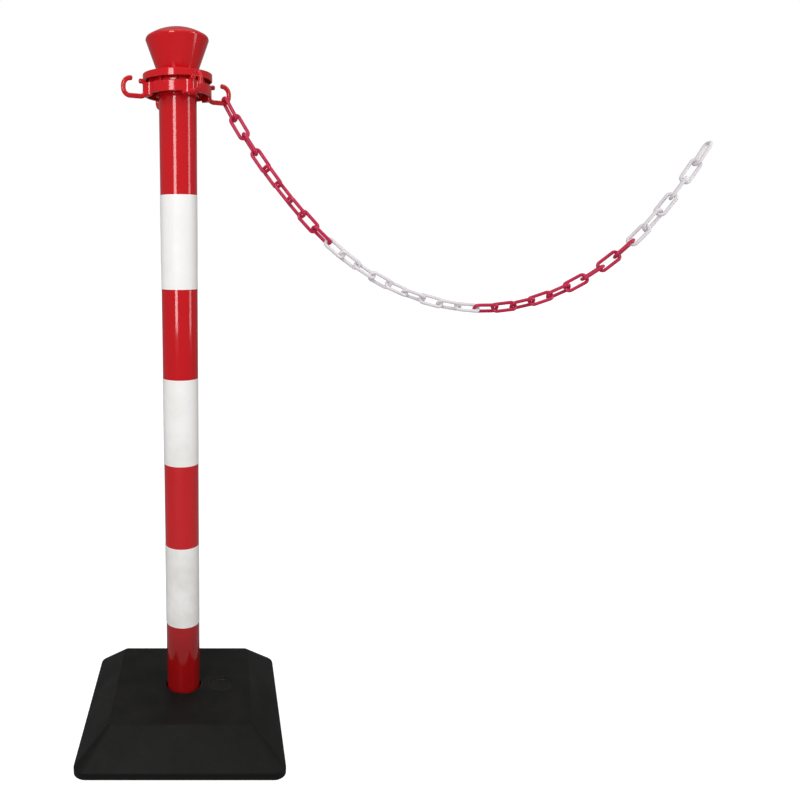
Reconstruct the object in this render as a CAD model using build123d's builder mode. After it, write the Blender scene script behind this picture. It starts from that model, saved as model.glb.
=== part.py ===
"""Plastic chain stanchion: a banded post on a sand-filled base, with a swivelling hook ring and a chain.

Millimetres. +Z is up, and the origin is on the floor, on the axis of the pole. The four hooks stand at
quarter turns round the pole, and the chain hangs from the right-hand one towards +X.
"""

from build123d import *
import os
from math import cos, radians, sin

# Base: a blow-moulded box with sloping sides
BASE_SIZE = 296.0
BASE_HEIGHT = 55.0
BASE_LIP = 12.0
BASE_PLATEAU = 204.0
BASE_WALL = 3.0
BASE_CORNER = 18.0
PLATEAU_CORNER = 5.0
BASE_FLOOR = 4.0
LIP_ROUND = 4.0
PLATEAU_ROUND = 4.0
FOOT_CHAMFER = 2.0
FOOT_RIM = 22.0
FOOT_CROSS = 30.0
FOOT_RECESS = 1.2

# Socket for the pole, in the middle of the base
SOCKET_FLOOR = 6.0
SOCKET_MOUTH_CLEARANCE = 2.2
SOCKET_LEAD = 18.0
SOCKET_WALL = 3.0
POLE_CLEARANCE = 0.3

# Filler hole and its push-in plug
FILLER_X = 58.0
FILLER_Y = -1.0
FILLER_HOLE = 29.8
FILLER_NECK_DEPTH = 12.0
PLUG_HEAD = 34.5
PLUG_HEAD_THICKNESS = 2.4
PLUG_HEAD_CLEARANCE = 0.7
PLUG_SINK = 0.6
PLUG_LENGTH = 9.0
PLUG_WALL = 1.6
PLUG_RIB = 0.25
PLUG_FIT = 0.05
PLUG_DISH = 24.0
PLUG_DISH_DEPTH = 0.8

# Sand inside the base
SAND_LEVEL = 34.0
SAND_GAP = 0.2

# Pole: a red tube with three white sleeves and a plug in its foot
POLE_DIAMETER = 50.0
POLE_WALL = 2.0
POLE_LENGTH = 915.0
BAND_COUNT = 3
FOOT_RED = 155.0
TOP_RED = 135.0
BAND_THICKNESS = 0.25
FOOT_PLUG_HEIGHT = 14.0
INSERT_WALL = 2.0
INSERT_FIT = 0.1

# Hook ring, which turns on the end of the pole (an overhang is measured out from the side of the pole)
RING_GAP = 0.3
RING_OVERHANG = 18.5
RING_HEIGHT = 13.0
RING_WALL = 3.0
RING_HUB_WALL = 2.4
RING_ROUND = 0.8
HOOK_COUNT = 4
HOOK_TURN = 25.0
HOOK_WIRE = 6.0
HOOK_OVERHANG = 52.6
HOOK_DROP = 6.2
HOOK_HEIGHT = 27.2
HOOK_TIP_RADIUS = 10.0
HOOK_OUTER_RADIUS = 8.5
HOOK_ROOT_RADIUS = 7.5
HOOK_HORN_RADIUS = 5.5
HOOK_TIP_LENGTH = 14.9
HOOK_MOUTH = 9.4
HOOK_HORN_DROP = 2.8
HOOK_ROOT_OFFSET = 1.0
HOOK_END_ROUND = 1.2
HOOK_ROOT_WIDTH = 21.0
HOOK_ROOT_TIP = 9.0
HOOK_ROOT_ROUND = 2.0

# Knob: a cup that plugs into the pole, and a domed lid
KNOB_SPIGOT = 30.0
NECK_OVERHANG = 11.0
NECK_HEIGHT = 5.0
NECK_RIBS = 12
NECK_RIB_LENGTH = 4.5
NECK_RIB_WIDTH = 2.0
FLANGE_OVERHANG = 20.5
FLANGE_THICKNESS = 8.7
FLANGE_RECESS = 5.5
FLANGE_ROUND = 0.8
CONE_OVERHANG = 0.5
KNOB_OVERHANG = 16.0
CONE_HEIGHT = 41.5
KNOB_RIM = 3.0
DOME_HEIGHT = 12.5
KNOB_WALL = 2.4
LID_WALL = 2.4
LID_FIT = 0.2
LID_SKIRT = 4.0
LID_CREASE = 0.4

# Chain
LINK_WIRE = 4.8
LINK_LENGTH = 36.5
LINK_GAP = 8.2
LINK_CORNER = 4.9
LINK_PLAY = 0.4
LINK_COUNT = 33
FIRST_LINK_LEAN = -60.0

# Slope of the hanging chain at some of its links, in degrees up from +X
CHAIN_SLOPES = [
    (1, -60.0),
    (3, -56.0),
    (8, -46.5),
    (11, -36.5),
    (15, -19.5),
    (18, -5.5),
    (22, 19.5),
    (26, 39.5),
    (29, 52.0),
    (33, 62.0),
]

# How far each link is rolled about the chain's run, beyond the quarter turn from link to link
CHAIN_ROLLS = [
    (1, 19.5),
    (3, 6.0),
    (5, 42.0),
    (6, 48.0),
    (8, 15.0),
    (9, 18.0),
    (12, 58.0),
    (13, 58.0),
    (15, 32.0),
    (16, 32.0),
    (18, 52.0),
    (19, 45.0),
    (23, 45.0),
    (25, 10.0),
    (26, 12.0),
    (29, 60.0),
    (32, 5.0),
    (33, 0.0),
]


def at_link(stations, number):
    """The value at a link, on straight runs between the stations."""
    for (first, low), (last, high) in zip(stations, stations[1:]):
        if number <= last:
            return low + (high - low) * (number - first) / (last - first)
    return stations[-1][1]


pole_radius = POLE_DIAMETER / 2
bore_radius = pole_radius - POLE_WALL
pole_top = SOCKET_FLOOR + POLE_LENGTH
slope_run = (BASE_SIZE - BASE_PLATEAU) / 2
slope_rise = BASE_HEIGHT - BASE_LIP
slope_length = (slope_run**2 + slope_rise**2) ** 0.5
# how far the inner slope stands in from the outer one at the same height
slope_inset = BASE_WALL * slope_length / slope_rise


def slope_half(height):
    """Half the outer width of the base at a height on its sloping sides."""
    return BASE_SIZE / 2 - (height - BASE_LIP) * slope_run / slope_rise


# Height at which the upright inner wall meets the inner slope
inner_lip = BASE_LIP - (slope_inset - BASE_WALL) * slope_rise / slope_run
inner_half = BASE_SIZE / 2 - BASE_WALL
inner_corner = BASE_CORNER - BASE_WALL
socket_radius = pole_radius + POLE_CLEARANCE
mouth_radius = pole_radius + SOCKET_MOUTH_CLEARANCE
seat_radius = PLUG_HEAD / 2 + PLUG_HEAD_CLEARANCE
collar_radius = seat_radius + BASE_WALL
collar_floor = BASE_HEIGHT - FILLER_NECK_DEPTH


def base_block(bottom, gap):
    """The inside of the base above a height, a gap clear of its walls."""
    top = BASE_HEIGHT - BASE_WALL
    low = inner_half - gap
    shoulder = inner_lip - gap * (slope_inset / BASE_WALL - 1)
    high = slope_half(top) - slope_inset * (1 + gap / BASE_WALL)
    with BuildPart() as block:
        with BuildSketch(Plane.XY.offset(bottom)):
            RectangleRounded(2 * low, 2 * low, inner_corner)
        extrude(amount=shoulder - bottom)
        with BuildSketch(Plane.XY.offset(shoulder)):
            RectangleRounded(2 * low, 2 * low, inner_corner)
        with BuildSketch(Plane.XY.offset(top)):
            RectangleRounded(2 * high, 2 * high, PLATEAU_CORNER)
        loft(ruled=True)
    return block.part


# ---------------------------------------------------------------- base
base_hollow = base_block(BASE_FLOOR, 0)
sand_block = base_block(BASE_FLOOR + SAND_GAP, SAND_GAP)

with BuildPart() as base_shell:
    with BuildSketch():
        RectangleRounded(BASE_SIZE, BASE_SIZE, BASE_CORNER)
    extrude(amount=BASE_LIP)
    with BuildSketch(Plane.XY.offset(BASE_LIP)):
        RectangleRounded(BASE_SIZE, BASE_SIZE, BASE_CORNER)
    with BuildSketch(Plane.XY.offset(BASE_HEIGHT)):
        RectangleRounded(BASE_PLATEAU, BASE_PLATEAU, PLATEAU_CORNER)
    loft(ruled=True)
    plateau_edges = base_shell.faces().sort_by(Axis.Z)[-1].edges()
    fillet(plateau_edges, PLATEAU_ROUND)
    lip_edges = base_shell.edges().filter_by_position(Axis.Z, BASE_LIP - 0.01, BASE_LIP + 0.01)
    fillet(lip_edges, LIP_ROUND)
    foot_edges = base_shell.faces().sort_by(Axis.Z)[0].edges()
    chamfer(foot_edges, FOOT_CHAMFER)
    add(base_hollow, mode=Mode.SUBTRACT)
    # the well for the pole and the neck of the filler hole stand inside the hollow
    with BuildSketch(Plane.XY.offset(BASE_FLOOR)):
        Circle(mouth_radius + SOCKET_WALL)
    extrude(amount=BASE_HEIGHT - BASE_WALL - BASE_FLOOR)
    with BuildSketch(Plane.XY.offset(collar_floor)):
        with Locations((FILLER_X, FILLER_Y)):
            Circle(collar_radius)
    extrude(amount=FILLER_NECK_DEPTH - BASE_WALL)
    with BuildSketch(Plane.XZ):
        with BuildLine():
            Polyline(
                (0, SOCKET_FLOOR),
                (socket_radius, SOCKET_FLOOR),
                (socket_radius, BASE_HEIGHT - SOCKET_LEAD),
                (mouth_radius, BASE_HEIGHT),
                (0, BASE_HEIGHT),
                close=True,
            )
        make_face()
    revolve(axis=Axis.Z, mode=Mode.SUBTRACT)
    with BuildSketch(Plane.XY.offset(collar_floor)):
        with Locations((FILLER_X, FILLER_Y)):
            Circle(FILLER_HOLE / 2)
    extrude(amount=FILLER_NECK_DEPTH, mode=Mode.SUBTRACT)
    with BuildSketch(Plane.XY.offset(BASE_HEIGHT)):
        with Locations((FILLER_X, FILLER_Y)):
            Circle(seat_radius)
    extrude(amount=-PLUG_HEAD_THICKNESS - PLUG_SINK, mode=Mode.SUBTRACT)
    # four shallow panels leave a rim and a cross to stand on
    panel = (BASE_SIZE - 2 * FOOT_RIM - FOOT_CROSS) / 2
    with BuildSketch():
        with GridLocations(panel + FOOT_CROSS, panel + FOOT_CROSS, 2, 2):
            RectangleRounded(panel, panel, PLATEAU_CORNER)
    extrude(amount=FOOT_RECESS, mode=Mode.SUBTRACT)
base_shell.part.label = "base_shell"

with BuildPart() as sand_ballast:
    add(sand_block)
    split(bisect_by=Plane.XY.offset(SAND_LEVEL), keep=Keep.BOTTOM)
    with BuildSketch(Plane.XY.offset(BASE_FLOOR)):
        Circle(mouth_radius + SOCKET_WALL + SAND_GAP)
    extrude(amount=BASE_HEIGHT, mode=Mode.SUBTRACT)
sand_ballast.part.label = "sand_ballast"

with BuildPart() as filler_plug:
    head_top = BASE_HEIGHT - PLUG_SINK
    seat_height = head_top - PLUG_HEAD_THICKNESS
    plug_radius = FILLER_HOLE / 2 - PLUG_FIT
    with BuildSketch(Plane.XY.offset(seat_height)):
        with Locations((FILLER_X, FILLER_Y)):
            Circle(PLUG_HEAD / 2)
    extrude(amount=PLUG_HEAD_THICKNESS)
    fillet(filler_plug.edges().group_by(Axis.Z)[-1], 0.6)
    with BuildSketch(Plane.XY.offset(head_top)):
        with Locations((FILLER_X, FILLER_Y)):
            Circle(PLUG_DISH / 2)
    extrude(amount=-PLUG_DISH_DEPTH, mode=Mode.SUBTRACT, taper=30)
    with BuildSketch(Plane.XY.offset(seat_height)):
        with Locations((FILLER_X, FILLER_Y)):
            Circle(plug_radius - PLUG_RIB)
            Circle(plug_radius - PLUG_RIB - PLUG_WALL, mode=Mode.SUBTRACT)
    extrude(amount=-PLUG_LENGTH)
    # two sealing ribs run round the stem
    for rib_height in (PLUG_LENGTH / 3, PLUG_LENGTH * 2 / 3):
        with BuildSketch(Plane.XY.offset(seat_height - rib_height)):
            with Locations((FILLER_X, FILLER_Y)):
                Circle(plug_radius)
                Circle(plug_radius - PLUG_WALL, mode=Mode.SUBTRACT)
        extrude(amount=PLUG_WALL / 2)
filler_plug.part.label = "filler_plug"

# ---------------------------------------------------------------- pole
with BuildPart() as pole_tube:
    with BuildSketch(Plane.XY.offset(SOCKET_FLOOR)):
        Circle(pole_radius)
        Circle(bore_radius, mode=Mode.SUBTRACT)
    extrude(amount=POLE_LENGTH)
pole_tube.part.label = "pole_tube"

# Red and white lengths alternate between the two red ends
band_length = (POLE_LENGTH - FOOT_RED - TOP_RED) / (2 * BAND_COUNT - 1)
first_band = SOCKET_FLOOR + FOOT_RED

white_bands = []
for number, place in enumerate(("lower", "middle", "upper")):
    with BuildPart() as band:
        with BuildSketch(Plane.XY.offset(first_band + 2 * number * band_length)):
            Circle(pole_radius + BAND_THICKNESS)
            Circle(pole_radius, mode=Mode.SUBTRACT)
        extrude(amount=band_length)
    band.part.label = f"white_band_{place}"
    white_bands.append(band)

with BuildPart() as pole_foot_plug:
    with BuildSketch(Plane.XY.offset(SOCKET_FLOOR)):
        Circle(bore_radius - INSERT_FIT)
    extrude(amount=FOOT_PLUG_HEIGHT)
    with BuildSketch(Plane.XY.offset(SOCKET_FLOOR + INSERT_WALL)):
        Circle(bore_radius - INSERT_FIT - INSERT_WALL)
    extrude(amount=FOOT_PLUG_HEIGHT, mode=Mode.SUBTRACT)
pole_foot_plug.part.label = "pole_foot_plug"

# ---------------------------------------------------------------- hook ring
web_bottom = pole_top + RING_GAP
web_top = web_bottom + RING_WALL
ring_bottom = web_top - RING_HEIGHT
ring_radius = pole_radius + RING_OVERHANG
hub_inner = pole_radius + RING_GAP + BAND_THICKNESS
hub_outer = hub_inner + RING_HUB_WALL
hook_bottom = ring_bottom - HOOK_DROP + HOOK_WIRE / 2
hook_top = ring_bottom - HOOK_DROP + HOOK_HEIGHT - HOOK_WIRE / 2
hook_reach = pole_radius + HOOK_OVERHANG
hook_outer = hook_reach - HOOK_WIRE / 2
hook_root = ring_radius + HOOK_ROOT_OFFSET
horn_top = hook_top - HOOK_HORN_DROP
tip_end = hook_reach - HOOK_TIP_LENGTH
root_reach = hook_root + HOOK_WIRE / 2

# One hook, in the plane of the X and Z axes
with BuildPart() as hook:
    with BuildLine(Plane.XZ) as hook_line:
        FilletPolyline(
            (tip_end, hook_top),
            (hook_outer, hook_top),
            (hook_outer, hook_bottom),
            (hook_root, hook_bottom),
            (hook_root, horn_top),
            (tip_end - HOOK_MOUTH, horn_top),
            radius=[HOOK_TIP_RADIUS, HOOK_OUTER_RADIUS, HOOK_ROOT_RADIUS, HOOK_HORN_RADIUS],
        )
    with BuildSketch(Plane(origin=hook_line.line @ 0, z_dir=hook_line.line % 0)):
        Circle(HOOK_WIRE / 2)
    sweep()
    fillet(hook.faces().filter_by(GeomType.PLANE).edges(), HOOK_END_ROUND)

# The outline of a hook's root, seen from above
with BuildSketch() as hook_root_outline:
    with Locations((ring_radius - 2 * RING_WALL, 0)):
        Circle(HOOK_ROOT_WIDTH / 2)
    with Locations((root_reach - HOOK_ROOT_TIP / 2, 0)):
        Circle(HOOK_ROOT_TIP / 2)
    make_hull()

with BuildPart() as hook_ring:
    with BuildSketch(Plane.XY.offset(ring_bottom)):
        Circle(ring_radius)
    extrude(amount=RING_HEIGHT)
    fillet(hook_ring.edges().filter_by(GeomType.CIRCLE), RING_ROUND)
    # each hook's root widens into the ring, so that a pull does not tear it off
    with BuildSketch(Plane.XY.offset(hook_bottom)):
        with PolarLocations(0, HOOK_COUNT, start_angle=HOOK_TURN):
            add(hook_root_outline.sketch)
    extrude(amount=web_top - hook_bottom)
    boss_ends = hook_ring.faces().filter_by(Axis.Z).group_by(Axis.Z)
    fillet(boss_ends[0].edges(), HOOK_ROOT_ROUND)
    with PolarLocations(0, HOOK_COUNT, start_angle=HOOK_TURN):
        add(hook.part)
    # the ring is hollow underneath, with a hub round the pole
    with BuildSketch(Plane.XY.offset(web_bottom)):
        Circle(ring_radius - RING_WALL)
        Circle(hub_outer, mode=Mode.SUBTRACT)
    extrude(amount=-RING_HEIGHT - HOOK_DROP, mode=Mode.SUBTRACT)
    with BuildSketch(Plane.XY.offset(web_bottom)):
        Circle(hub_inner)
    extrude(amount=-RING_HEIGHT - HOOK_DROP, mode=Mode.SUBTRACT)
    with BuildSketch(Plane.XY.offset(web_top)):
        Circle(bore_radius + RING_GAP)
    extrude(amount=-RING_HEIGHT, mode=Mode.SUBTRACT)
hook_ring.part.label = "hook_ring"

# ---------------------------------------------------------------- knob
neck_bottom = web_top + RING_GAP
flange_bottom = web_top + NECK_HEIGHT
flange_top = flange_bottom + FLANGE_THICKNESS
recess_top = flange_bottom + FLANGE_RECESS
cone_top = flange_top + CONE_HEIGHT
neck_radius = pole_radius + NECK_OVERHANG
flange_radius = pole_radius + FLANGE_OVERHANG
knob_radius = pole_radius + KNOB_OVERHANG
dome_foot = cone_top + KNOB_RIM
dome_radius = (knob_radius**2 + DOME_HEIGHT**2) / (2 * DOME_HEIGHT)
dome_centre = dome_foot + DOME_HEIGHT - dome_radius
spigot_radius = bore_radius - INSERT_FIT
cone_foot = pole_radius + CONE_OVERHANG
# how fast the cone widens with its height
cone_flare = (knob_radius - cone_foot) / CONE_HEIGHT
shoulder_radius = knob_radius - KNOB_RIM / 2


def dome_height(radius, inset=0):
    """Height of the dome at a distance from the axis, or of a surface inset from it."""
    return dome_centre + ((dome_radius - inset) ** 2 - radius**2) ** 0.5


with BuildPart() as knob_body:
    with BuildSketch(Plane.XZ):
        with BuildLine():
            Polyline(
                (spigot_radius - KNOB_WALL, pole_top - KNOB_SPIGOT),
                (spigot_radius, pole_top - KNOB_SPIGOT),
                (spigot_radius, neck_bottom),
                (neck_radius, neck_bottom),
                (neck_radius, flange_bottom),
                (flange_radius, flange_bottom),
                (flange_radius, flange_top),
                (cone_foot, flange_top),
                (knob_radius, cone_top),
                (knob_radius - KNOB_WALL, cone_top),
                (spigot_radius - KNOB_WALL, flange_top - KNOB_WALL),
                close=True,
            )
        make_face()
    revolve(axis=Axis.Z)
    circles = knob_body.edges().filter_by(GeomType.CIRCLE)
    flange_edges = circles.filter_by(lambda edge: abs(edge.radius - flange_radius) < 0.01)
    fillet(flange_edges, FLANGE_ROUND)
    with BuildSketch(Plane.XY.offset(flange_bottom)):
        Circle(flange_radius - KNOB_WALL)
        Circle(neck_radius, mode=Mode.SUBTRACT)
    extrude(amount=FLANGE_RECESS, mode=Mode.SUBTRACT)
    # the neck is a rim round a hub, hollow from below
    with BuildSketch(Plane.XY.offset(neck_bottom)):
        Circle(neck_radius - KNOB_WALL)
        Circle(spigot_radius + KNOB_WALL, mode=Mode.SUBTRACT)
    extrude(amount=recess_top - neck_bottom, mode=Mode.SUBTRACT)
    # short ribs stand round the neck, above the hook ring
    with BuildSketch(Plane.XY.offset(neck_bottom)):
        with PolarLocations(neck_radius + NECK_RIB_LENGTH / 2 - 1, NECK_RIBS):
            Rectangle(NECK_RIB_LENGTH + 2, NECK_RIB_WIDTH)
    extrude(amount=recess_top - neck_bottom)
knob_body.part.label = "knob_body"

with BuildPart() as knob_lid:
    with BuildSketch(Plane.XZ):
        with BuildLine():
            skirt = knob_radius - KNOB_WALL - LID_FIT
            skirt_foot = skirt - LID_SKIRT * cone_flare
            under = skirt - LID_WALL
            rim_top = dome_height(shoulder_radius)
            ThreePointArc(
                (0, dome_height(0)),
                (shoulder_radius / 2, dome_height(shoulder_radius / 2)),
                (shoulder_radius, rim_top),
            )
            RadiusArc((shoulder_radius, rim_top), (knob_radius, cone_top + LID_CREASE), 2 * KNOB_RIM)
            Polyline(
                (knob_radius, cone_top + LID_CREASE),
                (knob_radius - LID_CREASE, cone_top),
                (skirt, cone_top),
                (skirt_foot, cone_top - LID_SKIRT),
                (skirt_foot - LID_WALL, cone_top - LID_SKIRT),
                (under, dome_height(under, LID_WALL)),
            )
            ThreePointArc(
                (under, dome_height(under, LID_WALL)),
                (under / 2, dome_height(under / 2, LID_WALL)),
                (0, dome_height(0, LID_WALL)),
            )
            Line((0, dome_height(0, LID_WALL)), (0, dome_height(0)))
        make_face()
    revolve(axis=Axis.Z)
knob_lid.part.label = "knob_lid"

# ---------------------------------------------------------------- chain
bar_spacing = LINK_LENGTH - LINK_WIRE
half_width = (LINK_GAP + LINK_WIRE) / 2

# One link, along the X axis, in the plane of the X and Y axes
with BuildPart() as link_pattern:
    with BuildLine() as link_line:
        FilletPolyline(
            (-bar_spacing / 2, -half_width),
            (bar_spacing / 2, -half_width),
            (bar_spacing / 2, half_width),
            (-bar_spacing / 2, half_width),
            radius=LINK_CORNER,
            close=True,
        )
    with BuildSketch(Plane(origin=link_line.line @ 0, z_dir=link_line.line % 0)):
        Circle(LINK_WIRE / 2)
    sweep()

# The first link hangs on the lower outer bend of the right-hand hook
bend_reach = hook_outer - HOOK_OUTER_RADIUS * (1 - cos(radians(FIRST_LINK_LEAN)))
bar = Vector(
    bend_reach * cos(radians(HOOK_TURN)),
    bend_reach * sin(radians(HOOK_TURN)),
    hook_bottom + HOOK_OUTER_RADIUS * (1 + sin(radians(FIRST_LINK_LEAN))),
)
bar_step = (HOOK_WIRE + LINK_WIRE) / 2 + LINK_PLAY
turn = Vector(cos(radians(CHAIN_SLOPES[0][1])), 0, sin(radians(CHAIN_SLOPES[0][1])))

chain_links = []
link_planes = []
for number in range(1, LINK_COUNT + 1):
    slope = at_link(CHAIN_SLOPES, number)
    roll = 90 * (number % 2) + at_link(CHAIN_ROLLS, number)
    along = Vector(cos(radians(slope)), 0, sin(radians(slope)))
    if number > 1:
        turn = (along + link_planes[-1].x_dir).normalized()
        bar_step = LINK_WIRE + LINK_PLAY
    bar = bar - turn * bar_step
    rise = Vector(-sin(radians(slope)), 0, cos(radians(slope)))
    across = rise * cos(radians(roll)) + Vector(0, 1, 0) * sin(radians(roll))
    link_plane = Plane(origin=bar + along * (bar_spacing / 2), x_dir=along, z_dir=along.cross(across))
    with BuildPart(link_plane) as chain_link:
        add(link_pattern.part)
    chain_link.part.label = f"chain_link_{number:02d}"
    chain_links.append(chain_link)
    link_planes.append(link_plane)
    bar = bar + along * bar_spacing

# ---------------------------------------------------------------- files
os.makedirs("parts", exist_ok=True)
pieces = [
    base_shell,
    sand_ballast,
    filler_plug,
    pole_tube,
    *white_bands,
    pole_foot_plug,
    hook_ring,
    knob_body,
    knob_lid,
    *chain_links,
]
for piece in pieces:
    export_step(piece.part, f"parts/{piece.part.label}.step")
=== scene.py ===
"""The looks of a plastic chain stanchion: a banded post on a black base, with a knob, hooks and a chain.

Metres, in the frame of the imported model: +Z is up, +X is the side that the chain hangs to, and the origin is
on the floor, on the pole's axis. Each sub-assembly is a class that dresses its own pieces, and each finish is
a frozen dataclass that builds its own material.
"""

import logging
from dataclasses import dataclass, field
from enum import Enum
from math import radians
from typing import Any

import bmesh
import bpy
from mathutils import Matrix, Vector

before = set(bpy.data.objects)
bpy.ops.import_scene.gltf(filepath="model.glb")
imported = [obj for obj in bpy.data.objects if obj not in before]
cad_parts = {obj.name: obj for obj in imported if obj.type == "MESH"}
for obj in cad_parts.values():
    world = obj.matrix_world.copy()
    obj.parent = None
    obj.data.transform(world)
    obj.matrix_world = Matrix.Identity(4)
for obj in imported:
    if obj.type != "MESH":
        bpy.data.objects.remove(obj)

LOG = logging.getLogger("chain_stanchion")

Triple = tuple[float, float, float]
Colour = Triple

# A Mix node's sockets have the same names for every kind of data, so the colour ones are told by their place.
MIX_FIRST_COLOUR = 6
MIX_SECOND_COLOUR = 7
MIX_RESULT_COLOUR = 2

# A lamp or camera looks straight down until it is tipped up by this many degrees.
LEVEL = 90.0

WHITE = (1.0, 1.0, 1.0)


class Effect(Enum):
    """The shared surface effects, by the name of their node group."""

    MOULDED_SKIN = "moulded_skin"
    EDGE_WEAR_AND_HIGHLIGHT = "edge_wear_and_highlight"
    HANDLING_MARKS = "handling_marks"
    SETTLED_DUST = "settled_dust"


class Shade(Enum):
    """The two colours of the chain."""

    RED = "red"
    WHITE = "white"


@dataclass(frozen=True)
class Pattern:
    """A noise pattern, and the part of its range that shows where it is used as a mask.

    Attributes:
        detail: How many finer layers lie on the first.
        roughness: How strong the finer layers are.
        low: The noise at which the mask is still empty.
        high: The noise at which the mask is full.
    """

    detail: float
    roughness: float
    low: float = 0.0
    high: float = 1.0


GRAIN = Pattern(3.0, 0.6)
WAVE = Pattern(1.0, 0.4)
BLOTCH = Pattern(3.0, 0.55, 0.3, 0.7)
BREAKUP = Pattern(4.0, 0.65, 0.38, 0.66)
STREAK = Pattern(2.0, 0.5, 0.64, 0.74)
PATCH = Pattern(2.0, 0.5, 0.5, 0.68)
SMUDGE = Pattern(5.0, 0.6, 0.42, 0.7)
CLOUD = Pattern(4.0, 0.6, 0.4, 0.75)
SPECK = Pattern(2.0, 0.5, 0.55, 0.75)
SAND_GRAIN = Pattern(1.0, 0.5, 0.5, 0.62)

# How many blotches there are to a metre, where an effect doesn't take the number from its material.
BLOTCH_SCALE = 9.0
PATCH_SCALE = 11.0
CLOUD_SCALE = 22.0
SAND_GRAIN_SCALE = 1500.0

# The corner mask rises from the first turn of its rounded normal to the second, as 1 less the cosine.
LEAST_TURN = 0.01
FULL_TURN = 0.12
CORNER_SAMPLES = 6

# Scuffs are drawn out along the height by these factors on the coordinates.
SCUFF_STRETCH = (14.0, 14.0, 0.6)

# Clouds and specks make up equal halves of the dust.
DUST_HALF = 0.5


@dataclass
class Graph:
    """A node tree that is being filled, with short ways to add a node and to join two.

    Attributes:
        tree: The node tree of a material or of a node group.
    """

    tree: bpy.types.NodeTree

    def node(self, kind: str, **settings: Any) -> bpy.types.Node:
        """Adds a node.

        Args:
            kind: The node's type, without its ShaderNode prefix.
            **settings: Properties of the node, by name.

        Returns:
            The new node.
        """
        made = self.tree.nodes.new(kind if kind.startswith("NodeGroup") else "ShaderNode" + kind)
        for name, value in settings.items():
            setattr(made, name, value)
        return made

    def feed(self, socket: bpy.types.NodeSocket, value: Any) -> None:
        """Links a socket to another socket, or gives it a constant.

        Args:
            socket: The input socket.
            value: An output socket, or the constant.
        """
        if isinstance(value, bpy.types.NodeSocket):
            self.tree.links.new(value, socket)
        else:
            socket.default_value = value

    def math(self, operation: str, first: Any, second: Any, clamp: bool = False) -> bpy.types.NodeSocket:
        """Adds one step of arithmetic.

        Args:
            operation: The Math node's operation.
            first: The first value or socket.
            second: The second value or socket.
            clamp: Whether the result is kept between 0 and 1.

        Returns:
            The result's socket.
        """
        step = self.node("Math", operation=operation, use_clamp=clamp)
        self.feed(step.inputs[0], first)
        self.feed(step.inputs[1], second)
        return step.outputs[0]

    def spread(
        self, value: Any, low: float, high: float, bottom: float = 0.0, top: float = 1.0
    ) -> bpy.types.NodeSocket:
        """Maps a value from one range to another, clamped.

        Args:
            value: The value's socket.
            low: The value that gives bottom.
            high: The value that gives top.
            bottom: The result at low.
            top: The result at high.

        Returns:
            The result's socket.
        """
        step = self.node("MapRange", clamp=True)
        settings = {"Value": value, "From Min": low, "From Max": high, "To Min": bottom, "To Max": top}
        for name, given in settings.items():
            self.feed(step.inputs[name], given)
        return step.outputs["Result"]

    def blend(self, share: Any, first: Any, second: Any) -> bpy.types.NodeSocket:
        """Mixes two colours.

        Args:
            share: How much of the second colour shows.
            first: The first colour or its socket.
            second: The second colour or its socket.

        Returns:
            The mixed colour's socket.
        """
        step = self.node("Mix", data_type="RGBA")
        self.feed(step.inputs[0], share)
        self.feed(step.inputs[MIX_FIRST_COLOUR], _rgba(first))
        self.feed(step.inputs[MIX_SECOND_COLOUR], _rgba(second))
        return step.outputs[MIX_RESULT_COLOUR]

    def noise(self, where: bpy.types.NodeSocket, scale: Any, pattern: Pattern) -> bpy.types.NodeSocket:
        """Adds a noise texture.

        Args:
            where: The socket of the coordinates.
            scale: How many blotches there are to a metre.
            pattern: The noise's detail and roughness.

        Returns:
            The socket of the noise, between 0 and 1.
        """
        made = self.node("TexNoise")
        self.feed(made.inputs["Vector"], where)
        self.feed(made.inputs["Scale"], scale)
        self.feed(made.inputs["Detail"], pattern.detail)
        self.feed(made.inputs["Roughness"], pattern.roughness)
        return made.outputs["Fac"]

    def mask(self, where: bpy.types.NodeSocket, scale: Any, pattern: Pattern) -> bpy.types.NodeSocket:
        """Adds a noise texture and keeps the part of its range that the pattern shows.

        Args:
            where: The socket of the coordinates.
            scale: How many blotches there are to a metre.
            pattern: The noise and the part of its range.

        Returns:
            The mask's socket.
        """
        return self.spread(self.noise(where, scale, pattern), pattern.low, pattern.high)

    def stretched(self, where: bpy.types.NodeSocket, factors: Triple) -> bpy.types.NodeSocket:
        """Scales the coordinates along each axis.

        Args:
            where: The socket of the coordinates.
            factors: The factor along X, Y and Z.

        Returns:
            The socket of the scaled coordinates.
        """
        made = self.node("Mapping")
        self.feed(made.inputs["Vector"], where)
        self.feed(made.inputs["Scale"], factors)
        return made.outputs["Vector"]

    def coordinates(self) -> bpy.types.NodeSocket:
        """Adds the coordinates that go with the piece, and gives their socket."""
        return self.node("TexCoord").outputs["Object"]

    def resting_height(self) -> bpy.types.NodeSocket:
        """Adds the height above the floor that the surface has at rest.

        Returns:
            The height's socket.
        """
        parts = self.node("SeparateXYZ")
        self.feed(parts.inputs[0], self.coordinates())
        return parts.outputs["Z"]


def _rgba(colour: Any) -> Any:
    """A colour with its alpha, or the socket that was given instead."""
    return (*colour, 1.0) if isinstance(colour, tuple) else colour


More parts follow.
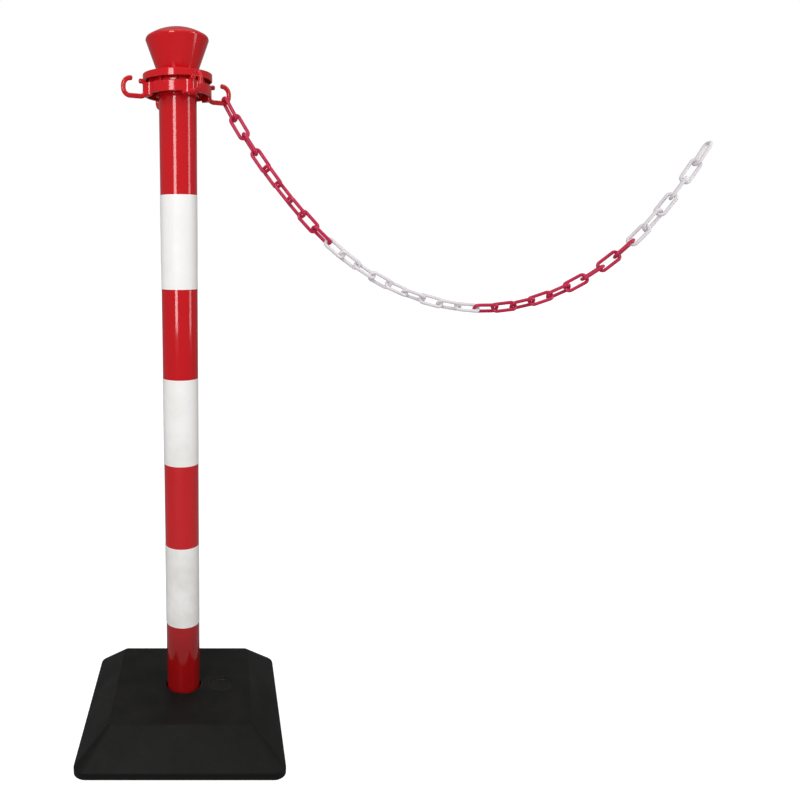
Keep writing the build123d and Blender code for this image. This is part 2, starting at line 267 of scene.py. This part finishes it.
@dataclass
class EffectShelf:
    """The node groups of the shared effects, each built once when it is first asked for.

    Attributes:
        built: The groups made so far, by effect.
    """

    built: dict[Effect, bpy.types.NodeTree] = field(default_factory=dict)

    def place(self, graph: Graph, effect: Effect, **values: float) -> bpy.types.Node:
        """Puts an effect into a material.

        Args:
            graph: The material's graph.
            effect: The effect.
            **values: The group's inputs, with underscores for spaces.

        Returns:
            The group node, whose outputs are the effect's.
        """
        if effect not in self.built:
            makers = {
                Effect.MOULDED_SKIN: self._moulded_skin,
                Effect.EDGE_WEAR_AND_HIGHLIGHT: self._edge_wear_and_highlight,
                Effect.HANDLING_MARKS: self._handling_marks,
                Effect.SETTLED_DUST: self._settled_dust,
            }
            self.built[effect] = makers[effect]()
        made = graph.node("Group", node_tree=self.built[effect])
        for name, value in values.items():
            graph.feed(made.inputs[name.replace("_", " ")], value)
        return made

    def _group(
        self, effect: Effect, inputs: dict[str, float], outputs: tuple[str, ...]
    ) -> tuple[Graph, bpy.types.Node, bpy.types.Node, bpy.types.NodeSocket]:
        """Starts a node group.

        Args:
            effect: The effect, which names the group.
            inputs: Each number input and its default.
            outputs: The names of the number outputs.

        Returns:
            The graph, the input node, the output node and the socket of the object coordinates.
        """
        tree = bpy.data.node_groups.new(effect.value, "ShaderNodeTree")
        for name, default in inputs.items():
            socket = tree.interface.new_socket(name, in_out="INPUT", socket_type="NodeSocketFloat")
            socket.default_value = default
        for name in outputs:
            tree.interface.new_socket(name, in_out="OUTPUT", socket_type="NodeSocketFloat")
        graph = Graph(tree)
        given = graph.node("NodeGroupInput")
        result = graph.node("NodeGroupOutput")
        return graph, given, result, graph.coordinates()

    def _moulded_skin(self) -> bpy.types.NodeTree:
        """Makes the slight waviness and fine grain that a mould leaves, and a cloudy tone.

        Returns:
            The node group.
        """
        graph, given, result, where = self._group(
            Effect.MOULDED_SKIN,
            {"Grain Scale": 900.0, "Grain": 0.3, "Wave Scale": 28.0, "Wave": 0.7},
            ("Height", "Tone"),
        )
        grain = graph.noise(where, given.outputs["Grain Scale"], GRAIN)
        wave = graph.noise(where, given.outputs["Wave Scale"], WAVE)
        fine = graph.math("MULTIPLY", grain, given.outputs["Grain"])
        broad = graph.math("MULTIPLY", wave, given.outputs["Wave"])
        graph.feed(result.inputs["Height"], graph.math("ADD", fine, broad))
        graph.feed(result.inputs["Tone"], graph.mask(where, BLOTCH_SCALE, BLOTCH))
        return graph.tree

    def _edge_wear_and_highlight(self) -> bpy.types.NodeTree:
        """Makes a broken line along the corners, used as wear, and on the black base partly as a painted
        highlight.

        Returns:
            The node group.
        """
        graph, given, result, where = self._group(
            Effect.EDGE_WEAR_AND_HIGHLIGHT, {"Width": 0.0015, "Breakup Scale": 140.0}, ("Mask",)
        )
        rounded = graph.node("Bevel", samples=CORNER_SAMPLES)
        graph.feed(rounded.inputs["Radius"], given.outputs["Width"])
        flat = graph.node("NewGeometry")
        same = graph.node("VectorMath", operation="DOT_PRODUCT")
        graph.feed(same.inputs[0], rounded.outputs["Normal"])
        graph.feed(same.inputs[1], flat.outputs["Normal"])
        turned = graph.math("SUBTRACT", 1.0, same.outputs["Value"])
        edge = graph.spread(turned, LEAST_TURN, FULL_TURN)
        broken = graph.mask(where, given.outputs["Breakup Scale"], BREAKUP)
        graph.feed(result.inputs["Mask"], graph.math("MULTIPLY", edge, broken))
        return graph.tree

    def _handling_marks(self) -> bpy.types.NodeTree:
        """Makes fine scuffs along the height and small dull smudges.

        Returns:
            The node group.
        """
        graph, given, result, where = self._group(
            Effect.HANDLING_MARKS, {"Scuff Scale": 60.0, "Smudge Scale": 16.0}, ("Scuff", "Smudge")
        )
        lengthwise = graph.stretched(where, SCUFF_STRETCH)
        streak = graph.mask(lengthwise, given.outputs["Scuff Scale"], STREAK)
        patch = graph.mask(where, PATCH_SCALE, PATCH)
        graph.feed(result.inputs["Scuff"], graph.math("MULTIPLY", streak, patch))
        graph.feed(result.inputs["Smudge"], graph.mask(where, given.outputs["Smudge Scale"], SMUDGE))
        return graph.tree

    def _settled_dust(self) -> bpy.types.NodeTree:
        """Makes pale dust on the faces that look up.

        Returns:
            The node group.
        """
        graph, given, result, where = self._group(
            Effect.SETTLED_DUST, {"Speck Scale": 420.0, "Lowest Tilt": 0.3}, ("Mask",)
        )
        upward = graph.node("SeparateXYZ")
        graph.feed(upward.inputs[0], graph.node("NewGeometry").outputs["Normal"])
        facing = graph.math("SUBTRACT", upward.outputs["Z"], given.outputs["Lowest Tilt"], clamp=True)
        cloud = graph.math("MULTIPLY", graph.mask(where, CLOUD_SCALE, CLOUD), DUST_HALF)
        speck = graph.math("MULTIPLY", graph.mask(where, given.outputs["Speck Scale"], SPECK), DUST_HALF)
        mixed = graph.math("ADD", cloud, speck, clamp=True)
        graph.feed(result.inputs["Mask"], graph.math("MULTIPLY", facing, mixed))
        return graph.tree


@dataclass(frozen=True, kw_only=True)
class Finish:
    """A finish with one Principled BSDF.

    Attributes:
        name: The material's name.
        colour: The main colour, as linear values.
        roughness: How dull the surface is.
        shine: How strongly the surface mirrors its surroundings head-on.
        bump_strength: How strongly the small bumps show.
        bump_depth: How deep they are.
    """

    name: str
    colour: Colour
    roughness: float
    shine: float
    bump_strength: float
    bump_depth: float

    def begin(self) -> tuple[bpy.types.Material, Graph, bpy.types.Node]:
        """Makes an empty material with its shader.

        Returns:
            The material, its graph and its Principled BSDF.
        """
        material = bpy.data.materials.new(self.name)
        material.use_nodes = True
        material.node_tree.nodes.clear()
        graph = Graph(material.node_tree)
        shader = graph.node("BsdfPrincipled")
        output = graph.node("OutputMaterial")
        graph.feed(output.inputs["Surface"], shader.outputs["BSDF"])
        graph.feed(shader.inputs["Base Color"], _rgba(self.colour))
        graph.feed(shader.inputs["Roughness"], self.roughness)
        graph.feed(shader.inputs["Specular IOR Level"], self.shine)
        return material, graph, shader

    def emboss(self, graph: Graph, shader: bpy.types.Node, height: bpy.types.NodeSocket) -> None:
        """Turns a height into small bumps.

        Args:
            graph: The material's graph.
            shader: The material's shader.
            height: The height's socket.
        """
        bump = graph.node("Bump")
        graph.feed(bump.inputs["Strength"], self.bump_strength)
        graph.feed(bump.inputs["Distance"], self.bump_depth)
        graph.feed(bump.inputs["Height"], height)
        graph.feed(shader.inputs["Normal"], bump.outputs["Normal"])


@dataclass(frozen=True, kw_only=True)
class GlossPlastic(Finish):
    """Glossy coloured plastic of the tube, the ring and the knob.

    Attributes:
        deep_colour: The colour of the darker cloudy patches.
        wear_colour: The paler colour of rubbed corners and scuffs.
        foot_shade_colour: The darker colour close to the floor, a painted shade for a piece that reaches down
            to it.
        grain: The strength of the fine grain.
        cloudiness: How much of deep_colour the cloudy patches show.
        corner_wear: How much of wear_colour a rubbed corner shows.
        scuff_wear: How much of wear_colour a scuff shows.
        smudge_dulling: How much roughness a smudge adds.
        scuff_dulling: How much roughness a scuff adds.
        foot_shade_top: The height at which the painted foot shade starts to show.
        foot_shade_full: The height from which the painted foot shade shows fully, down to the floor.
    """

    deep_colour: Colour
    wear_colour: Colour
    grain: float
    foot_shade_colour: Colour | None = None
    bump_strength: float = 0.25
    bump_depth: float = 0.0004
    cloudiness: float = 0.45
    corner_wear: float = 0.28
    scuff_wear: float = 0.16
    smudge_dulling: float = 0.06
    scuff_dulling: float = 0.2
    foot_shade_top: float = 0.24
    foot_shade_full: float = 0.12

    def build(self, shelf: EffectShelf) -> bpy.types.Material:
        """Makes the material.

        Args:
            shelf: The shared effects.

        Returns:
            The material.
        """
        material, graph, shader = self.begin()
        skin = shelf.place(
            graph, Effect.MOULDED_SKIN, Grain_Scale=1400.0, Grain=self.grain, Wave_Scale=34.0, Wave=1.0
        )
        marks = shelf.place(graph, Effect.HANDLING_MARKS, Scuff_Scale=70.0, Smudge_Scale=18.0)
        edge = shelf.place(graph, Effect.EDGE_WEAR_AND_HIGHLIGHT, Width=0.0011, Breakup_Scale=160.0)
        cloudy = graph.math("MULTIPLY", skin.outputs["Tone"], self.cloudiness)
        body = graph.blend(cloudy, self.colour, self.deep_colour)
        # Painted shade: the colour darkens towards the floor at the foot of the tube.
        if self.foot_shade_colour:
            foot_shade_share = graph.spread(graph.resting_height(), self.foot_shade_top, self.foot_shade_full)
            body = graph.blend(foot_shade_share, body, self.foot_shade_colour)
        corners_worn = graph.math("MULTIPLY", edge.outputs["Mask"], self.corner_wear)
        scuffs_worn = graph.math("MULTIPLY", marks.outputs["Scuff"], self.scuff_wear)
        worn = graph.math("ADD", corners_worn, scuffs_worn, clamp=True)
        graph.feed(shader.inputs["Base Color"], graph.blend(worn, body, self.wear_colour))
        smudges_dull = graph.math("MULTIPLY", marks.outputs["Smudge"], self.smudge_dulling)
        scuffs_dull = graph.math("MULTIPLY", marks.outputs["Scuff"], self.scuff_dulling)
        dull = graph.math("ADD", smudges_dull, scuffs_dull)
        graph.feed(shader.inputs["Roughness"], graph.math("ADD", self.roughness, dull, clamp=True))
        self.emboss(graph, shader, skin.outputs["Height"])
        return material


@dataclass(frozen=True, kw_only=True)
class WhiteFilm(Finish):
    """Smooth white film on the tube, greyer where hands and feet mark it.

    Attributes:
        soiled_colour: The colour of the smudges.
        clean_height: The height from which up the smudges show least.
        soiled_height: The height from which down they show most.
        least_soiled: How much of soiled_colour the smudges show at the least.
        most_soiled: How much they show at the most.
        scuff_soiling: How much of soiled_colour a scuff shows.
        smudge_dulling: How much roughness a smudge adds.
    """

    soiled_colour: Colour
    bump_strength: float = 0.22
    bump_depth: float = 0.0004
    clean_height: float = 0.8
    soiled_height: float = 0.15
    least_soiled: float = 0.12
    most_soiled: float = 0.55
    scuff_soiling: float = 0.3
    smudge_dulling: float = 0.12

    def build(self, shelf: EffectShelf) -> bpy.types.Material:
        """Makes the material.

        Args:
            shelf: The shared effects.

        Returns:
            The material.
        """
        material, graph, shader = self.begin()
        skin = shelf.place(
            graph, Effect.MOULDED_SKIN, Grain_Scale=1800.0, Grain=0.08, Wave_Scale=42.0, Wave=1.0
        )
        marks = shelf.place(graph, Effect.HANDLING_MARKS, Scuff_Scale=55.0, Smudge_Scale=14.0)
        height = graph.resting_height()
        lower = graph.spread(
            height, self.clean_height, self.soiled_height, self.least_soiled, self.most_soiled
        )
        soiled = graph.math("MULTIPLY", marks.outputs["Smudge"], lower)
        scratched = graph.math("MULTIPLY", marks.outputs["Scuff"], self.scuff_soiling)
        share = graph.math("ADD", soiled, scratched, clamp=True)
        graph.feed(shader.inputs["Base Color"], graph.blend(share, self.colour, self.soiled_colour))
        dull = graph.math("MULTIPLY", marks.outputs["Smudge"], self.smudge_dulling)
        graph.feed(shader.inputs["Roughness"], graph.math("ADD", self.roughness, dull))
        self.emboss(graph, shader, skin.outputs["Height"])
        return material


@dataclass(frozen=True, kw_only=True)
class BlowMouldedBlack(Finish):
    """Satin black polyethylene with a leathery mould grain and pale corners, partly rubbed wear and partly a
    painted highlight.

    Attributes:
        rubbed_and_highlight_colour: The brown-grey colour of the corners, partly rubbed wear and partly a
            painted highlight.
        dust_colour: The colour of the dust.
        corner_wear: How much of rubbed_and_highlight_colour a corner shows, as wear and painted highlight.
        dustiness: How much of dust_colour the dust shows.
        smudge_dulling: How much roughness a smudge adds.
    """

    rubbed_and_highlight_colour: Colour
    dust_colour: Colour = (0.10, 0.09, 0.08)
    bump_strength: float = 0.5
    corner_wear: float = 0.85
    dustiness: float = 0.2
    smudge_dulling: float = 0.14

    def build(self, shelf: EffectShelf) -> bpy.types.Material:
        """Makes the material.

        Args:
            shelf: The shared effects.

        Returns:
            The material.
        """
        material, graph, shader = self.begin()
        skin = shelf.place(
            graph, Effect.MOULDED_SKIN, Grain_Scale=620.0, Grain=0.8, Wave_Scale=24.0, Wave=0.8
        )
        edge = shelf.place(graph, Effect.EDGE_WEAR_AND_HIGHLIGHT, Width=0.003, Breakup_Scale=110.0)
        dust = shelf.place(graph, Effect.SETTLED_DUST, Speck_Scale=420.0, Lowest_Tilt=0.4)
        marks = shelf.place(graph, Effect.HANDLING_MARKS, Scuff_Scale=40.0, Smudge_Scale=12.0)
        # The pale corners are partly rubbed wear and partly a painted highlight along the edges.
        worn = graph.math("MULTIPLY", edge.outputs["Mask"], self.corner_wear)
        rubbed = graph.blend(worn, self.colour, self.rubbed_and_highlight_colour)
        dusty = graph.math("MULTIPLY", dust.outputs["Mask"], self.dustiness)
        graph.feed(shader.inputs["Base Color"], graph.blend(dusty, rubbed, self.dust_colour))
        dull = graph.math("MULTIPLY", marks.outputs["Smudge"], self.smudge_dulling)
        graph.feed(shader.inputs["Roughness"], graph.math("ADD", self.roughness, dull, clamp=True))
        self.emboss(graph, shader, skin.outputs["Height"])
        return material


@dataclass(frozen=True, kw_only=True)
class ChainPlastic(Finish):
    """Slightly translucent moulded plastic of the chain links.

    Attributes:
        deep_colour: The deeper colour of the cloudy patches.
        glow_depth: How far light passes through the skin for red, green and blue.
        glow: How much light passes through the skin.
        glow_scale: What glow_depth is multiplied by.
        cloudiness: How much of deep_colour the cloudy patches show.
        smudge_dulling: How much roughness a smudge adds.
    """

    deep_colour: Colour
    glow_depth: Triple
    bump_strength: float = 0.3
    bump_depth: float = 0.0003
    shine: float = 0.4
    glow: float = 0.06
    glow_scale: float = 1.0
    cloudiness: float = 0.6
    smudge_dulling: float = 0.15

    def build(self, shelf: EffectShelf) -> bpy.types.Material:
        """Makes the material.

        Args:
            shelf: The shared effects.

        Returns:
            The material.
        """
        material, graph, shader = self.begin()
        skin = shelf.place(
            graph, Effect.MOULDED_SKIN, Grain_Scale=1300.0, Grain=0.08, Wave_Scale=110.0, Wave=0.8
        )
        marks = shelf.place(graph, Effect.HANDLING_MARKS, Scuff_Scale=90.0, Smudge_Scale=70.0)
        cloudy = graph.math("MULTIPLY", skin.outputs["Tone"], self.cloudiness)
        graph.feed(shader.inputs["Base Color"], graph.blend(cloudy, self.colour, self.deep_colour))
        dull = graph.math("MULTIPLY", marks.outputs["Smudge"], self.smudge_dulling)
        graph.feed(shader.inputs["Roughness"], graph.math("ADD", self.roughness, dull))
        graph.feed(shader.inputs["Subsurface Weight"], self.glow)
        graph.feed(shader.inputs["Subsurface Radius"], self.glow_depth)
        graph.feed(shader.inputs["Subsurface Scale"], self.glow_scale)
        self.emboss(graph, shader, skin.outputs["Height"])
        return material


@dataclass(frozen=True, kw_only=True)
class PackedSand(Finish):
    """Dry sand with light and dark grains.

    Attributes:
        dark_grain: The colour of the dark grains.
    """

    dark_grain: Colour

    def build(self, shelf: EffectShelf) -> bpy.types.Material:
        """Makes the material.

        Args:
            shelf: The shared effects.

        Returns:
            The material.
        """
        material, graph, shader = self.begin()
        skin = shelf.place(
            graph, Effect.MOULDED_SKIN, Grain_Scale=1600.0, Grain=1.0, Wave_Scale=60.0, Wave=0.8
        )
        grains = graph.mask(graph.coordinates(), SAND_GRAIN_SCALE, SAND_GRAIN)
        graph.feed(shader.inputs["Base Color"], graph.blend(grains, self.colour, self.dark_grain))
        self.emboss(graph, shader, skin.outputs["Height"])
        return material


@dataclass(frozen=True, kw_only=True)
class BrightFloor(Finish):
    """Plain studio floor that glows where it is seen directly, and is plain pale grey to everything else.

    Attributes:
        glow: How brightly it glows where it is seen directly.
    """

    glow: float

    def build(self, shelf: EffectShelf) -> bpy.types.Material:
        """Makes the material.

        Args:
            shelf: The shared effects.

        Returns:
            The material.
        """
        material, graph, shader = self.begin()
        skin = shelf.place(
            graph, Effect.MOULDED_SKIN, Grain_Scale=300.0, Grain=0.2, Wave_Scale=8.0, Wave=0.3
        )
        graph.feed(shader.inputs["Emission Color"], _rgba(WHITE))
        seen = graph.node("LightPath").outputs["Is Camera Ray"]
        graph.feed(shader.inputs["Emission Strength"], graph.math("MULTIPLY", seen, self.glow))
        self.emboss(graph, shader, skin.outputs["Height"])
        return material


RED_TUBE = GlossPlastic(
    name="red_tube_plastic",
    colour=(0.58, 0.007, 0.012),
    roughness=0.07,
    shine=0.5,
    deep_colour=(0.50, 0.006, 0.010),
    wear_colour=(0.70, 0.10, 0.09),
    grain=0.1,
    # Painted shade at the foot of the tube.
    foot_shade_colour=(0.30, 0.004, 0.005),
)
RED_MOULDING = GlossPlastic(
    name="red_moulded_plastic",
    colour=(0.60, 0.007, 0.012),
    roughness=0.08,
    shine=0.5,
    deep_colour=(0.52, 0.006, 0.010),
    wear_colour=(0.72, 0.10, 0.09),
    grain=0.12,
)
WHITE_SLEEVE = WhiteFilm(
    name="white_band_film",
    colour=(0.93, 0.92, 0.90),
    roughness=0.42,
    shine=0.3,
    soiled_colour=(0.62, 0.57, 0.53),
)
BLACK_BASE = BlowMouldedBlack(
    name="black_blow_moulding",
    colour=(0.0085, 0.0083, 0.0080),
    roughness=0.5,
    shine=0.09,
    bump_depth=0.0005,
    # Pale corners: partly rubbed wear, partly a painted highlight.
    rubbed_and_highlight_colour=(0.052, 0.042, 0.036),
)
BLACK_PLUG = BlowMouldedBlack(
    name="black_plug_plastic",
    colour=(0.007, 0.007, 0.007),
    roughness=0.42,
    shine=0.15,
    bump_depth=0.0002,
    rubbed_and_highlight_colour=(0.036, 0.030, 0.026),
)
SAND = PackedSand(
    name="ballast_sand",
    colour=(0.50, 0.39, 0.25),
    roughness=0.95,
    shine=0.2,
    bump_strength=0.9,
    bump_depth=0.0008,
    dark_grain=(0.20, 0.14, 0.08),
)
CHAIN_FINISHES = {
    Shade.RED: ChainPlastic(
        name="chain_red_plastic",
        colour=(0.60, 0.020, 0.085),
        roughness=0.26,
        deep_colour=(0.42, 0.008, 0.045),
        glow_depth=(0.003, 0.0006, 0.0008),
    ),
    Shade.WHITE: ChainPlastic(
        name="chain_white_plastic",
        colour=(0.80, 0.76, 0.79),
        roughness=0.28,
        deep_colour=(0.70, 0.66, 0.69),
        glow_depth=(0.003, 0.003, 0.003),
    ),
}
FLOOR_PAINT = BrightFloor(
    name="studio_floor_white",
    colour=(0.4, 0.4, 0.4),
    roughness=0.7,
    shine=0.1,
    bump_strength=0.1,
    bump_depth=0.0002,
    glow=0.9,
)


def dress(node: str, material: bpy.types.Material) -> None:
    """Gives a CAD piece its material.

    Args:
        node: The piece's name.
        material: Its material.
    """
    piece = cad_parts[node]
    piece.data.materials.clear()
    piece.data.materials.append(material)
    LOG.info("dressed %s in %s", node, material.name)


@dataclass
class Base:
    """The black base with its plug and its sand.

    Attributes:
        shell: The name of the hollow base.
        plug: The name of the filler plug.
        ballast: The name of the sand.
    """

    shell: str = "base_shell"
    plug: str = "filler_plug"
    ballast: str = "sand_ballast"

    def build(self, shelf: EffectShelf) -> None:
        """Dresses the base.

        Args:
            shelf: The shared effects.
        """
        dress(self.shell, BLACK_BASE.build(shelf))
        dress(self.plug, BLACK_PLUG.build(shelf))
        dress(self.ballast, SAND.build(shelf))


@dataclass
class Pole:
    """The red tube, its white bands and the plug in its foot.

    Attributes:
        tube: The name of the tube.
        foot_plug: The name of the plug, of the same plastic as the base's filler plug.
        bands: The names of the bands, from the floor up.
    """

    tube: str = "pole_tube"
    foot_plug: str = "pole_foot_plug"
    bands: tuple[str, ...] = ("white_band_lower", "white_band_middle", "white_band_upper")

    def build(self, shelf: EffectShelf) -> None:
        """Dresses the pole, after the base, whose plug's material it shares.

        Args:
            shelf: The shared effects.
        """
        dress(self.tube, RED_TUBE.build(shelf))
        film = WHITE_SLEEVE.build(shelf)
        for band in self.bands:
            dress(band, film)
        dress(self.foot_plug, bpy.data.materials[BLACK_PLUG.name])


@dataclass
class Head:
    """The hook ring and the two pieces of the knob.

    Attributes:
        ring: The name of the ring with its hooks.
        knob: The name of the knob's body.
        lid: The name of the knob's domed lid.
    """

    ring: str = "hook_ring"
    knob: str = "knob_body"
    lid: str = "knob_lid"

    def build(self, shelf: EffectShelf) -> None:
        """Dresses the head of the post.

        Args:
            shelf: The shared effects.
        """
        moulding = RED_MOULDING.build(shelf)
        for node in (self.ring, self.knob, self.lid):
            dress(node, moulding)


@dataclass
class Chain:
    """The red and white links.

    Attributes:
        group: How many links of one colour follow each other.
        prefix: What the links' names start with.
    """

    group: int = 9
    prefix: str = "chain_link_"

    def shade(self, number: int) -> Shade:
        """The colour of a link by its number, from 1 at the post."""
        return Shade.RED if (number - 1) // self.group % 2 == 0 else Shade.WHITE

    def build(self, shelf: EffectShelf) -> None:
        """Dresses every link.

        Args:
            shelf: The shared effects.
        """
        materials = {shade: finish.build(shelf) for shade, finish in CHAIN_FINISHES.items()}
        for node in sorted(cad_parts):
            if node.startswith(self.prefix):
                dress(node, materials[self.shade(int(node.removeprefix(self.prefix)))])


@dataclass
class SoftLight:
    """A rectangular soft light that points at a spot.

    Attributes:
        name: The light's name.
        place: Where it stands.
        target: The spot it points at.
        size: Its width and height.
        power: Its power in watts.
    """

    name: str
    place: Triple
    target: Triple
    size: tuple[float, float]
    power: float

    def build(self) -> None:
        """Adds the light."""
        lamp = bpy.data.lights.new(self.name, "AREA")
        lamp.shape = "RECTANGLE"
        lamp.size, lamp.size_y = self.size
        lamp.energy = self.power
        holder = bpy.data.objects.new(self.name, lamp)
        holder.location = self.place
        aim = Vector(self.target) - Vector(self.place)
        holder.rotation_euler = aim.to_track_quat("-Z", "Y").to_euler()
        bpy.context.scene.collection.objects.link(holder)


@dataclass
class EvenLight:
    """Soft light that falls evenly from one direction, as from a large bright ceiling or wall.

    Attributes:
        name: The light's name.
        elevation: How high it stands, in degrees above the horizon.
        bearing: How far it is turned about the vertical, in degrees, from the camera's side to the right.
        spread: How wide it is, in degrees.
        strength: Its strength.
        mirrored: Whether glossy surfaces mirror it.
    """

    name: str
    elevation: float
    bearing: float
    spread: float
    strength: float
    mirrored: bool = True

    def build(self) -> None:
        """Adds the light."""
        lamp = bpy.data.lights.new(self.name, "SUN")
        lamp.angle = radians(self.spread)
        lamp.energy = self.strength
        holder = bpy.data.objects.new(self.name, lamp)
        holder.rotation_euler = (radians(LEVEL - self.elevation), 0.0, radians(self.bearing))
        holder.visible_glossy = self.mirrored
        bpy.context.scene.collection.objects.link(holder)


STUDIO_LIGHTS = (
    SoftLight("left_strip", place=(-0.56, -1.71, 1.5), target=(0.0, 0.0, 1.4), size=(0.5, 2.2), power=32.0),
    SoftLight("right_strip", place=(1.53, -0.47, 1.5), target=(0.0, 0.0, 1.4), size=(0.36, 2.2), power=11.0),
    EvenLight("ceiling", elevation=86.0, bearing=0.0, spread=60.0, strength=0.6),
    EvenLight("rear_wall", elevation=12.0, bearing=180.0, spread=50.0, strength=1.0, mirrored=False),
)


@dataclass
class Studio:
    """The floor, the lights and the camera.

    Attributes:
        floor_size: The side of the floor.
        floor_drop: How far the floor lies under the base, so that the two don't share a face.
        camera_place: Where the camera stands.
        camera_pitch: How far it looks down, in degrees.
        sensor: The width of its sensor in millimetres.
        lens: Its focal length in millimetres.
        shift: How far the view is shifted sideways.
        backdrop: The brightness of the surroundings where they are seen directly.
        ambient: The brightness that they light the object with, and that it mirrors.
        lights: The lights.
    """

    floor_size: float = 60.0
    floor_drop: float = 0.0003
    camera_place: Triple = (0.051, -1.038, 0.7205)
    camera_pitch: float = 11.8
    sensor: float = 36.0
    lens: float = 33.4
    shift: float = 0.2294
    backdrop: float = 1.0
    ambient: float = 0.25
    lights: tuple[SoftLight | EvenLight, ...] = STUDIO_LIGHTS

    def build(self, shelf: EffectShelf) -> None:
        """Sets up the studio.

        Args:
            shelf: The shared effects.
        """
        self._floor(shelf)
        self._surroundings()
        for light in self.lights:
            light.build()
        self._camera()

    def _floor(self, shelf: EffectShelf) -> None:
        """Lays the floor just under the base.

        Args:
            shelf: The shared effects.
        """
        mesh = bpy.data.meshes.new("studio_floor")
        shape = bmesh.new()
        bmesh.ops.create_grid(shape, x_segments=1, y_segments=1, size=self.floor_size / 2)
        shape.to_mesh(mesh)
        shape.free()
        floor = bpy.data.objects.new("studio_floor", mesh)
        floor.location = (0.0, 0.0, -self.floor_drop)
        mesh.materials.append(FLOOR_PAINT.build(shelf))
        bpy.context.scene.collection.objects.link(floor)

    def _surroundings(self) -> None:
        """Surrounds the object with white that is bright where it is seen directly and dimmer as light."""
        world = bpy.data.worlds.new("studio_surroundings")
        world.use_nodes = True
        graph = Graph(world.node_tree)
        white = world.node_tree.nodes["Background"]
        graph.feed(white.inputs["Color"], _rgba(WHITE))
        seen = graph.node("LightPath").outputs["Is Camera Ray"]
        graph.feed(white.inputs["Strength"], graph.spread(seen, 0.0, 1.0, self.ambient, self.backdrop))
        bpy.context.scene.world = world
        bpy.context.scene.view_settings.view_transform = "Standard"

    def _camera(self) -> None:
        """Stands the camera in front of the post, at the height of its upper half, looking a little down."""
        lens = bpy.data.cameras.new("studio_camera")
        lens.sensor_width = self.sensor
        lens.lens = self.lens
        lens.shift_x = self.shift
        camera = bpy.data.objects.new("studio_camera", lens)
        camera.location = self.camera_place
        camera.rotation_euler = (radians(LEVEL - self.camera_pitch), 0.0, 0.0)
        bpy.context.scene.collection.objects.link(camera)
        bpy.context.scene.camera = camera


def main() -> None:
    """Builds every sub-assembly in order."""
    logging.basicConfig(level=logging.INFO, format="%(name)s: %(message)s")
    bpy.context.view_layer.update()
    shelf = EffectShelf()
    Studio().build(shelf)
    for assembly in (Base(), Pole(), Head(), Chain()):
        assembly.build(shelf)
        LOG.info("built %s", type(assembly).__name__)


if __name__ == "__main__":
    main()
